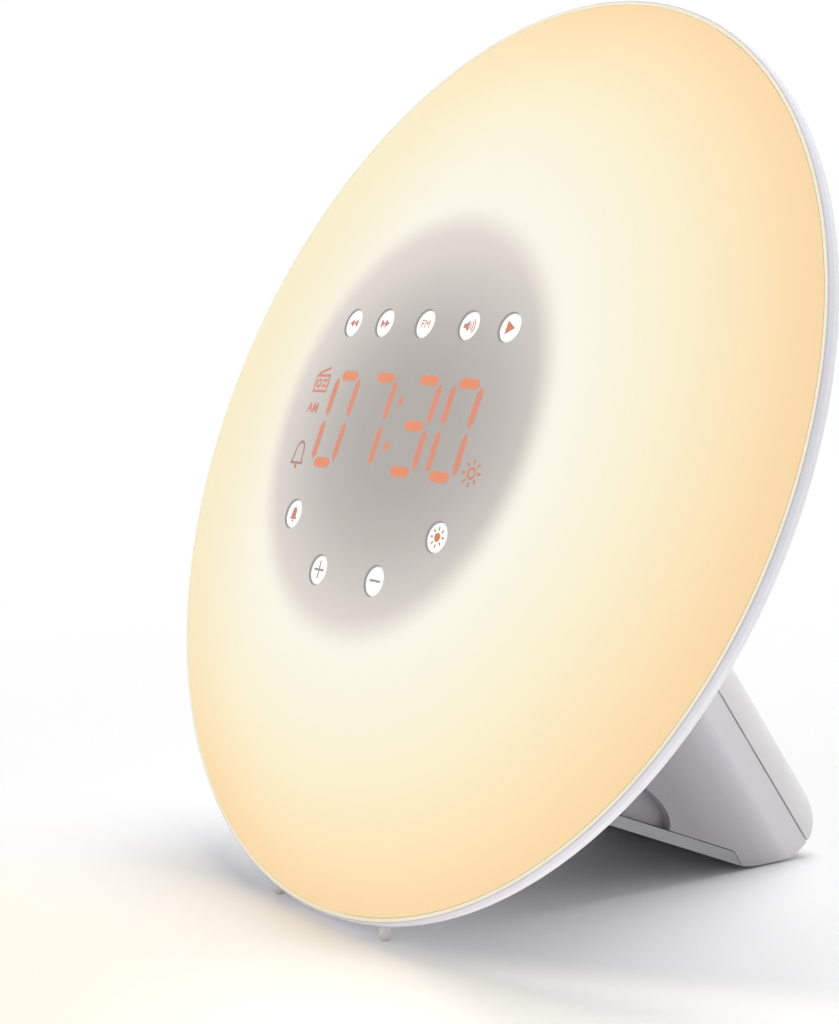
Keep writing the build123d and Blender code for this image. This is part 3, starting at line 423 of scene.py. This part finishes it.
def add_letters(bm, words, x, y, height, bolder=0.0):
    """Plain capitals, centred on a point, their strokes made bolder by a width."""
    curve = bpy.data.curves.new("letters", "FONT")
    curve.body = words
    curve.align_x = "CENTER"
    curve.align_y = "CENTER"
    curve.size = height / 0.73
    curve.offset = bolder
    holder = bpy.data.objects.new("letters", curve)
    bpy.context.scene.collection.objects.link(holder)
    bpy.context.view_layer.update()
    mesh = bpy.data.meshes.new_from_object(holder)
    mesh.transform(Matrix.Translation((x, y, 0)))
    bm.from_mesh(mesh)
    bpy.data.objects.remove(holder)


def lay_on(bm, name, carrier, material, body):
    """Lays a flat drawing on a CAD node as a thin closed layer that rides on a body."""
    layer, finest, above_face = 0.05, 0.9, 40.0
    bmesh.ops.remove_doubles(bm, verts=bm.verts, dist=0.001)
    bmesh.ops.triangulate(bm, faces=bm.faces)
    for _ in range(5):
        long_edges = [e for e in bm.edges if e.calc_length() > finest]
        if not long_edges:
            break
        bmesh.ops.subdivide_edges(bm, edges=long_edges, cuts=1)
        bmesh.ops.triangulate(bm, faces=bm.faces)
    for f in bm.faces:
        if f.normal.z < 0:
            f.normal_flip()
    surface = BVHTree.FromObject(frame["nodes"][carrier], bpy.context.evaluated_depsgraph_get())
    for v in bm.verts:
        above = face @ Vector((v.co.x, v.co.y, above_face))
        v.co = surface.ray_cast(above, into)[0]
    bmesh.ops.solidify(bm, geom=bm.faces[:], thickness=-layer * mm)
    mesh = bpy.data.meshes.new(name)
    bm.to_mesh(mesh)
    bm.free()
    mesh.materials.append(material)
    piece = bpy.data.objects.new(name, mesh)
    bpy.context.scene.collection.objects.link(piece)
    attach(piece, body)


def ink(name, colour):
    """Printing ink with a painted glow for the light behind it, which comes through a little."""
    material = moulded(name, colour, 0.45, grain=0.3, depth=0.005)
    shader = opened(material)[1]
    shader.inputs["Emission Color"].default_value = linear(colour)
    shader.inputs["Emission Strength"].default_value = 0.35
    return material


# pad-printing inks lie thin and matt, and a painted glow lightens them as the white cap behind would
red_ink = ink("red_brown_ink", "#c08074")
orange_ink = ink("orange_brown_ink", "#c87e60")
grey_ink = ink("grey_brown_ink", "#9a938d")
inks = {
    "rewind": red_ink, "forward": red_ink, "fm": orange_ink, "sound": red_ink,
    "play": orange_ink, "alarm": red_ink, "plus": grey_ink, "minus": grey_ink,
    "light": orange_ink,
}

# where each button stands on the face, read from its node
cap_places = {}
for name in button_names:
    low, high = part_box("button_" + name)
    middle = face.inverted() @ ((low + high) / 2)
    cap_places[name] = (middle.x, middle.y)


def arrow(bm, x, y, half, way):
    """A filled triangle that points left or right."""
    back, rise = x - way * half, half * 1.15
    add_polygon(bm, [(back, y + rise), (back, y - rise), (x + way * half, y)])


def double_arrow(bm, x, y, way, half=0.75):
    """Two small arrows, one after the other."""
    arrow(bm, x - half, y, half, way)
    arrow(bm, x + half, y, half, way)


def draw_rewind(bm, x, y):
    double_arrow(bm, x, y, -1)


def draw_forward(bm, x, y):
    double_arrow(bm, x, y, 1)


def draw_fm(bm, x, y):
    add_letters(bm, "FM", x, y, 1.75)


def draw_sound(bm, x, y):
    add_polygon(bm, [
        (x - 1.7, y - 0.45), (x - 0.95, y - 0.45), (x - 0.05, y - 1.15), (x - 0.05, y + 1.15),
        (x - 0.95, y + 0.45), (x - 1.7, y + 0.45),
    ])
    for band in (0.75, 1.35, 1.95):
        add_arc(bm, x - 0.35, y, band, 0.28, -42, 84)


def draw_play(bm, x, y):
    arrow(bm, x + 0.1, y, 1.2, 1)


def draw_alarm(bm, x, y):
    points = [(x + 1.25, y - 1.1), (x + 0.85, y - 0.55), (x + 0.8, y + 0.35)]
    turns = [radians(a) for a in range(15, 166, 15)]
    points += [(x + 0.8 * cos(a), y + 0.35 + 0.95 * sin(a)) for a in turns]
    points += [(x - 0.8, y + 0.35), (x - 0.85, y - 0.55), (x - 1.25, y - 1.1)]
    add_polygon(bm, points)
    add_disc(bm, x, y - 1.45, 0.32, 12)


sign_arm, sign_line = 1.7, 0.42


def draw_minus(bm, x, y):
    add_bar(bm, x - sign_arm, y, x + sign_arm, y, sign_line)


def draw_plus(bm, x, y):
    draw_minus(bm, x, y)
    for way in (1, -1):
        add_bar(bm, x, y + way * sign_line / 2, x, y + way * sign_arm, sign_line)


def draw_light(bm, x, y):
    add_disc(bm, x, y, 0.85)
    add_rays(bm, x, y, 1.25, 1.95, 0.36)


signs = {
    "rewind": draw_rewind, "forward": draw_forward, "fm": draw_fm, "sound": draw_sound,
    "play": draw_play, "alarm": draw_alarm, "plus": draw_plus, "minus": draw_minus,
    "light": draw_light,
}
for name, draw in signs.items():
    drawing = bmesh.new()
    draw(drawing, *cap_places[name])
    lay_on(drawing, "sign_" + name, "button_" + name, inks[name], name + "_key")


# ---------------------------------------------------------------- digits and symbols
# The display's seven-segment digits and its small symbols shine through the middle of
# the diffuser as salmon-orange light. They are thin lit patches on its surface.

def shining(name, light, edge):
    """Light behind the diffuser, which blurs towards a patch's edge."""
    material, tree, shader, _ = new_material(name)
    inner = add_node(tree, "Attribute", {"attribute_name": "inner"}).outputs["Fac"]
    tint = add_node(
        tree, "Mix", {"data_type": "RGBA"}, {"Factor": inner, 6: linear(edge), 7: linear(light)}
    ).outputs[2]
    tree.links.new(tint, shader.inputs["Base Color"])
    tree.links.new(tint, shader.inputs["Emission Color"])
    shader.inputs["Emission Strength"].default_value = 0.35
    shader.inputs["Roughness"].default_value = 0.5
    return material


# red LED light through white plastic: strong in the middle of a segment, soft at its edge
bar_light = shining("display_light", "#de8967", "#c29a89")
post_light = shining("display_light_soft", "#d28a73", "#bd9d8f")
# the symbols' light comes through printed film, which keeps their lines sharper and darker
symbol_light = ink("symbol_light", "#cc7f6c")
symbol_brown = ink("symbol_brown", "#a9796a")

digit_places = (-20.9, -7.7, 6.8, 19.1)
digit_middle = -1.05
digit_half_width = 4.0
digit_half_height = 8.95
digit_lean = 0.028
bar_width, bar_gap, bar_tip = 2.15, 0.75, 0.9
post_width, post_gap, post_tip = 1.95, 0.3, 1.3
segment_blur, segment_round = 0.35, 0.3
shown = "0730"
# segments by name: a top, b and c right, d bottom, e and f left, g middle
lit_segments = {"0": "abcdef", "3": "abcdg", "7": "abc"}


def soften(bm, lit_face):
    """Insets a face, whose middle then counts as inner and whose border as edge."""
    bmesh.ops.inset_individual(bm, faces=[lit_face], thickness=segment_blur)
    inner = bm.verts.layers.float["inner"]
    for v in lit_face.verts:
        v[inner] = 1.0


def add_segment(bm, x1, y1, x2, y2, width, gap, tip):
    """A segment of a digit: a bar with pointed, slightly rounded ends and a soft edge."""
    along = Vector((x2 - x1, y2 - y1)).normalized()
    side = Vector((-along.y, along.x)) * width / 2
    start = Vector((x1, y1)) + along * gap
    end = Vector((x2, y2)) - along * gap
    corners = (
        start, start + along * tip - side, end - along * tip - side,
        end, end - along * tip + side, start + along * tip + side,
    )
    polygon = add_polygon(bm, [tuple(c) for c in corners])
    bmesh.ops.bevel(
        bm, geom=list(polygon.verts), offset=segment_round, segments=3, profile=0.5,
        affect="VERTICES", material=-1,
    )
    soften(bm, bm.faces[:][-1])


def segment_ends(x):
    """End points of each segment of a digit that stands at x."""
    top, bottom = digit_middle + digit_half_height, digit_middle - digit_half_height
    rows = {"top": top, "middle": digit_middle, "bottom": bottom}
    left, right = {}, {}
    for row, y in rows.items():
        middle = x + digit_lean * (y - top)
        left[row] = (middle - digit_half_width, y)
        right[row] = (middle + digit_half_width, y)
    return {
        "a": (*left["top"], *right["top"]), "b": (*right["middle"], *right["top"]),
        "c": (*right["bottom"], *right["middle"]), "d": (*left["bottom"], *right["bottom"]),
        "e": (*left["bottom"], *left["middle"]), "f": (*left["middle"], *left["top"]),
        "g": (*left["middle"], *right["middle"]),
    }


bars, posts = bmesh.new(), bmesh.new()
for drawing in (bars, posts):
    drawing.verts.layers.float.new("inner")
for figure, x in zip(shown, digit_places):
    ends = segment_ends(x)
    for segment in lit_segments[figure]:
        if segment in "adg":
            add_segment(bars, *ends[segment], bar_width, bar_gap, bar_tip)
        else:
            add_segment(posts, *ends[segment], post_width, post_gap, post_tip)
colon_x, colon_y, dot_radius = -0.25, 4.45, 1.0
for k in (-1, 1):
    add_disc(posts, colon_x, digit_middle + k * colon_y, dot_radius)
    soften(posts, posts.faces[:][-1])
lay_on(bars, "display_bars", "front_diffuser", bar_light, "clock")
lay_on(posts, "display_posts", "front_diffuser", post_light, "clock")

# lit symbols: AM, a radio with its tuning window and loudspeaker, and a sun
radio_line, sun_line, bell_line = 0.5, 0.45, 0.48
symbols = bmesh.new()
am_x, am_y, am_height, am_bolder = -31.6, 0.9, 2.2, 0.05
add_letters(symbols, "AM", am_x, am_y, am_height, am_bolder)
radio_x, radio_y = -31.2, 6.15
for x1, y1, x2, y2 in (
    (-2.8, 1.65, 2.8, 1.65), (-2.8, -1.65, 2.8, -1.65), (-2.6, -1.45, -2.6, 1.45),
    (2.6, -1.45, 2.6, 1.45), (-2.2, 2.05, 2.0, 3.35), (0.2, 0.65, 2.0, 0.65),
    (0.2, -0.55, 2.0, -0.55),
):
    add_bar(symbols, radio_x + x1, radio_y + y1, radio_x + x2, radio_y + y2, radio_line)
add_arc(symbols, radio_x - 1.1, radio_y, 0.75, radio_line)
sun_x, sun_y = 27.4, -8.5
add_arc(symbols, sun_x, sun_y, 0.95, sun_line)
add_rays(symbols, sun_x, sun_y, 1.65, 2.6, sun_line)
lay_on(symbols, "lit_symbols", "front_diffuser", symbol_light, "clock")

# a browner symbol: an alarm bell in outline
symbols = bmesh.new()
bell_x, bell_y = -31.4, -8.6
bell = [(2.3, -2.0), (1.75, -1.0), (1.6, 0.5)]
bell += [(1.6 * cos(radians(a)), 0.5 + 1.9 * sin(radians(a))) for a in range(20, 161, 20)]
bell += [(-1.6, 0.5), (-1.75, -1.0), (-2.3, -2.0), (2.3, -2.0)]
for (x1, y1), (x2, y2) in zip(bell, bell[1:]):
    add_bar(symbols, bell_x + x1, bell_y + y1, bell_x + x2, bell_y + y2, bell_line)
add_disc(symbols, bell_x, bell_y - 2.7, 0.45, 12)
lay_on(symbols, "bell_symbol", "front_diffuser", symbol_brown, "clock")


# ---------------------------------------------------------------- lamp
# Behind the diffuser lie a white reflector ring and a ring board with warm white LEDs,
# whose yellow phosphor shows when they are off.

# white reflector polycarbonate, matt so that it spreads the light
dress(moulded("reflector_polycarbonate", "#f4f4f1", 0.55), "reflector")
# phosphor under clear resin: a deep yellow with a small sharp shine
dress(moulded("led_phosphor", "#f4d66a", 0.35, grain=0.3), "leds")


def circuit_board(name, mask, track):
    """Fibreglass board: copper tracks under a glossy solder mask show as paler lines."""
    track_spacing = 3.85
    material, tree, shader, place = new_material(name)
    tracks = add_node(
        tree, "TexVoronoi", {"feature": "DISTANCE_TO_EDGE"},
        {"Vector": place, "Scale": 1 / (track_spacing * mm)},
    ).outputs["Distance"]
    line = add_node(
        tree, "MapRange", {},
        {"Value": tracks, "From Min": 0.06, "From Max": 0.1, "To Min": 1.0, "To Max": 0.0},
    ).outputs["Result"]
    tint = add_node(
        tree, "Mix", {"data_type": "RGBA"}, {"Factor": line, 6: linear(mask), 7: linear(track)}
    ).outputs[2]
    tree.links.new(tint, shader.inputs["Base Color"])
    shader.inputs["Roughness"].default_value = 0.25
    shader.inputs["Coat Weight"].default_value = 0.4
    return material


# green solder mask, glossy as a coat of lacquer
green_board = circuit_board("green_solder_mask", "#1d5a35", "#2d7a48")
dress(green_board, "led_board", "control_board", "main_board")


# ---------------------------------------------------------------- control module
# A white moulded cup carries the buttons' plate, a silver-grey printed mask, the display
# block with its tinted film, and the board with the switches.

# plain white ABS, matt
dress(moulded("white_module_abs", "#f2f2f0", 0.45), "control_frame")
# silver-grey ink on film, with a low even sheen
dress(moulded("silver_grey_film", "#b9b7b4", 0.35, grain=0.2), "face_mask")
# pale filled plastic, matt, that keeps each segment's light in its own well
dress(moulded("display_block_plastic", "#dcd8d2", 0.5), "display_module")
# orange film, smooth and glossy
dress(moulded("orange_display_film", "#c86a48", 0.2, grain=0.2), "display_filter")
# black nylon of the switches and the power socket, half matt
dress(moulded("black_switch_nylon", "#1c1c1e", 0.45), "switch_bodies", "dc_jack")
# undyed nylon, creamy and waxy
dress(moulded("white_nylon", "#e9e4d4", 0.5), "ribbon_sockets")
# polyester ribbon, smooth with a soft shine
dress(moulded("ribbon_polyester", "#dedee0", 0.3, grain=0.8), "ribbon_cable")
# shrink sleeve, dark and shiny
dress(moulded("capacitor_sleeve", "#2b2d38", 0.3), "capacitors")


# ---------------------------------------------------------------- metal parts
# Zinc-plated screws, the socket's nickel pin, the speaker's pressed basket and its
# ferrite magnet. Plating and pressing leave fine streaks and a slightly uneven shine.

def plated(name, colour, roughness, metallic=1.0):
    """Metal with fine streaks half a millimetre apart."""
    streak, darkening, gloss_spread = 0.5, 0.15, 0.1
    material, tree, shader, place = new_material(name)
    streaks = add_node(
        tree, "TexNoise", {}, {"Vector": place, "Scale": 1 / (streak * mm), "Detail": 3.0}
    ).outputs["Fac"]
    gloss = add_node(
        tree, "MapRange", {},
        {"Value": streaks, "To Min": roughness - gloss_spread, "To Max": roughness + gloss_spread},
    ).outputs["Result"]
    darker = [c * (1 - darkening) for c in linear(colour)[:3]] + [1.0]
    tint = add_node(
        tree, "Mix", {"data_type": "RGBA"}, {"Factor": streaks, 6: darker, 7: linear(colour)}
    ).outputs[2]
    tree.links.new(tint, shader.inputs["Base Color"])
    tree.links.new(gloss, shader.inputs["Roughness"])
    shader.inputs["Metallic"].default_value = metallic
    return material


# zinc plate, a cool grey shine with fine streaks
screw_nodes = [name for name in frame["nodes"] if name.endswith("_screws")]
dress(plated("zinc_plated_steel", "#b9bbc0", 0.32), *screw_nodes)
# nickel plate, warmer and brighter
dress(plated("nickel_plate", "#cfc9bd", 0.2), "dc_jack_pin")
# painted pressed steel, nearly black with a low shine
dress(plated("black_painted_steel", "#3a3a3d", 0.4, metallic=0.3), "speaker_frame")
# ferrite, a dark dull ceramic
dress(plated("ferrite", "#2b2b2d", 0.6, metallic=0.2), "speaker_magnet")


# ---------------------------------------------------------------- speaker's soft parts
# The cone is pressed coated paper, and a ring of closed-cell foam seals the basket
# against the leg's rear cover.

# coated paper, a fibrous near-black
dress(moulded("coated_paper", "#2a2929", 0.7, grain=0.9, depth=0.08), "speaker_cone")
# closed-cell foam, dull and pitted
dress(moulded("cell_foam", "#232325", 0.85, grain=0.5, depth=0.2), "speaker_gasket")


# ---------------------------------------------------------------- floor
# A plain white table top, matt enough to mirror nothing. A pool of the lamp's warm light is
# painted on it in front of the clock.

floor_half_width = 6.0
floor_bm = bmesh.new()
bmesh.ops.create_grid(floor_bm, x_segments=1, y_segments=1, size=floor_half_width)
floor_mesh = bpy.data.meshes.new("floor")
floor_bm.to_mesh(floor_mesh)
floor_bm.free()
floor = bpy.data.objects.new("floor", floor_mesh)
bpy.context.scene.collection.objects.link(floor)

# white melamine, matt, with the lamp's light painted on it in cream
table, tree, shader, place = new_material("white_table_top")
pool_middle = (-20.0 * mm, -170.0 * mm, 0)
pool_inner, pool_outer = 30.0 * mm, 130.0 * mm
pool_radius = add_node(
    tree, "VectorMath", {"operation": "DISTANCE"}, {0: place, 1: pool_middle}
).outputs["Value"]
pool = add_node(
    tree, "MapRange", {"interpolation_type": "SMOOTHSTEP"},
    {"Value": pool_radius, "From Min": pool_inner, "From Max": pool_outer},
).outputs["Result"]
tint = add_node(
    tree, "Mix", {"data_type": "RGBA"}, {"Factor": pool, 6: linear("#fef6e4"), 7: linear("#fcfcfc")}
).outputs[2]
tree.links.new(tint, shader.inputs["Base Color"])
shader.inputs["Roughness"].default_value = 0.5
shader.inputs["Specular IOR Level"].default_value = 0.2

# painted light: the lamp brightens the table just outside the shadow that the disc throws
shadow_angle = radians(-55)
shadow_end, lit_start = 50.0 * mm, 68.0 * mm
shadow_way = add_node(
    tree, "VectorMath", {"operation": "DOT_PRODUCT"},
    {0: place, 1: (cos(shadow_angle), sin(shadow_angle), 0)},
).outputs["Value"]
past_shadow = add_node(
    tree, "MapRange", {"interpolation_type": "SMOOTHSTEP"},
    {"Value": shadow_way, "From Min": shadow_end, "From Max": lit_start},
).outputs["Result"]
bright_middle = (75.0 * mm, -50.0 * mm, 0)
bright_inner, bright_outer, brightening = 20.0 * mm, 90.0 * mm, 0.20
bright_from = add_node(
    tree, "VectorMath", {"operation": "DISTANCE"}, {0: place, 1: bright_middle}
).outputs["Value"]
brightness = add_node(
    tree, "MapRange", {"interpolation_type": "SMOOTHSTEP"},
    {"Value": bright_from, "From Min": bright_inner, "From Max": bright_outer,
     "To Min": brightening, "To Max": 0.0},
).outputs["Result"]
near_lamp = add_node(
    tree, "Math", {"operation": "MULTIPLY"}, {0: past_shadow, 1: brightness}
).outputs["Value"]
shader.inputs["Emission Color"].default_value = linear("#fff6dc")
tree.links.new(near_lamp, shader.inputs["Emission Strength"])

# away from the clock the floor runs into the white background
fade_start, fade_end = 120.0 * mm, 400.0 * mm
far_out = add_node(tree, "VectorMath", {"operation": "LENGTH"}, {0: place}).outputs["Value"]
far = add_node(
    tree, "MapRange", {"interpolation_type": "SMOOTHSTEP"},
    {"Value": far_out, "From Min": fade_start, "From Max": fade_end},
).outputs["Result"]
seen = add_node(tree, "LightPath").outputs["Is Camera Ray"]
fade = add_node(tree, "Math", {"operation": "MULTIPLY"}, {0: far, 1: seen}).outputs["Value"]
backdrop = add_node(
    tree, "Emission", {}, {"Color": linear("#ffffff"), "Strength": 1.0}
).outputs["Emission"]
joined = add_node(
    tree, "MixShader", {}, {0: fade, 1: shader.outputs["BSDF"], 2: backdrop}
).outputs["Shader"]
tree.links.new(joined, tree.nodes["Material Output"].inputs["Surface"])
floor_mesh.materials.append(table)


# ---------------------------------------------------------------- light
# A white room that the camera and mirrors see at full white, a wide soft lamp above the
# clock, and two weaker ones, in front and behind on the right, that open its shadows.

world = bpy.data.worlds.new("studio")
bpy.context.scene.world = world
world.use_nodes = True
tree = world.node_tree
tree.nodes.clear()
path = add_node(tree, "LightPath")
straight = add_node(
    tree, "Math", {"operation": "MAXIMUM"},
    {0: path.outputs["Is Camera Ray"], 1: path.outputs["Is Glossy Ray"]},
).outputs["Value"]
straight = add_node(
    tree, "Math", {"operation": "MAXIMUM"},
    {0: straight, 1: path.outputs["Is Transmission Ray"]},
).outputs["Value"]
room = add_node(tree, "Background", {}, {"Color": linear("#f6f6fa"), "Strength": 0.18})
white = add_node(tree, "Background", {}, {"Color": linear("#ffffff"), "Strength": 1.0})
mixed = add_node(
    tree, "MixShader", {},
    {0: straight, 1: room.outputs["Background"], 2: white.outputs["Background"]},
).outputs["Shader"]
add_node(tree, "OutputWorld", {}, {"Surface": mixed})


def soft_lamp(name, way_to, spread, level):
    """A wide distant lamp: a white surface that faces it gets this level of light."""
    data = bpy.data.lights.new(name, "SUN")
    data.angle = radians(spread)
    data.energy = pi * level
    lamp_object = bpy.data.objects.new(name, data)
    bpy.context.scene.collection.objects.link(lamp_object)
    lamp_object.rotation_euler = Vector(way_to).to_track_quat("Z", "Y").to_euler()


soft_lamp("overhead", (-0.19, 0.25, 0.95), 40.0, 0.63)
soft_lamp("front", (-0.15, -0.7, 0.7), 60.0, 0.21)
soft_lamp("behind", (0.5, 0.8, 0.3), 50.0, 0.19)


# ---------------------------------------------------------------- camera
# It stands to the right of the clock and a little above it, close enough for strong
# perspective. Its place is worked out from the angles and the distance to the disc.

azimuth, elevation, roll = radians(55.489), radians(6.524), radians(-0.672)
distance, across, upward = 422.36, -7.664, -12.734
focal_pixels, image_height, sensor = 2198.5, 1024, 36.0
right = Vector((cos(azimuth), sin(azimuth), 0))
up = Vector((-sin(azimuth) * sin(elevation), cos(azimuth) * sin(elevation), cos(elevation)))
ahead = up.cross(right)
turned_right = cos(roll) * right + sin(roll) * up
turned_up = cos(roll) * up - sin(roll) * right
disc_middle = Vector((0, disc_y, disc_z))
camera_place = disc_middle + mm * (across * turned_right + upward * turned_up - distance * ahead)
camera_data = bpy.data.cameras.new("camera")
camera_data.sensor_width = sensor
camera_data.lens = focal_pixels * sensor / image_height
camera_data.clip_start = 0.01
camera = bpy.data.objects.new("camera", camera_data)
bpy.context.scene.collection.objects.link(camera)
axes = Matrix((turned_right, turned_up, -ahead)).transposed()
camera.matrix_world = Matrix.Translation(camera_place) @ axes.to_4x4()
bpy.context.scene.camera = camera
bpy.context.scene.view_settings.view_transform = "Standard"
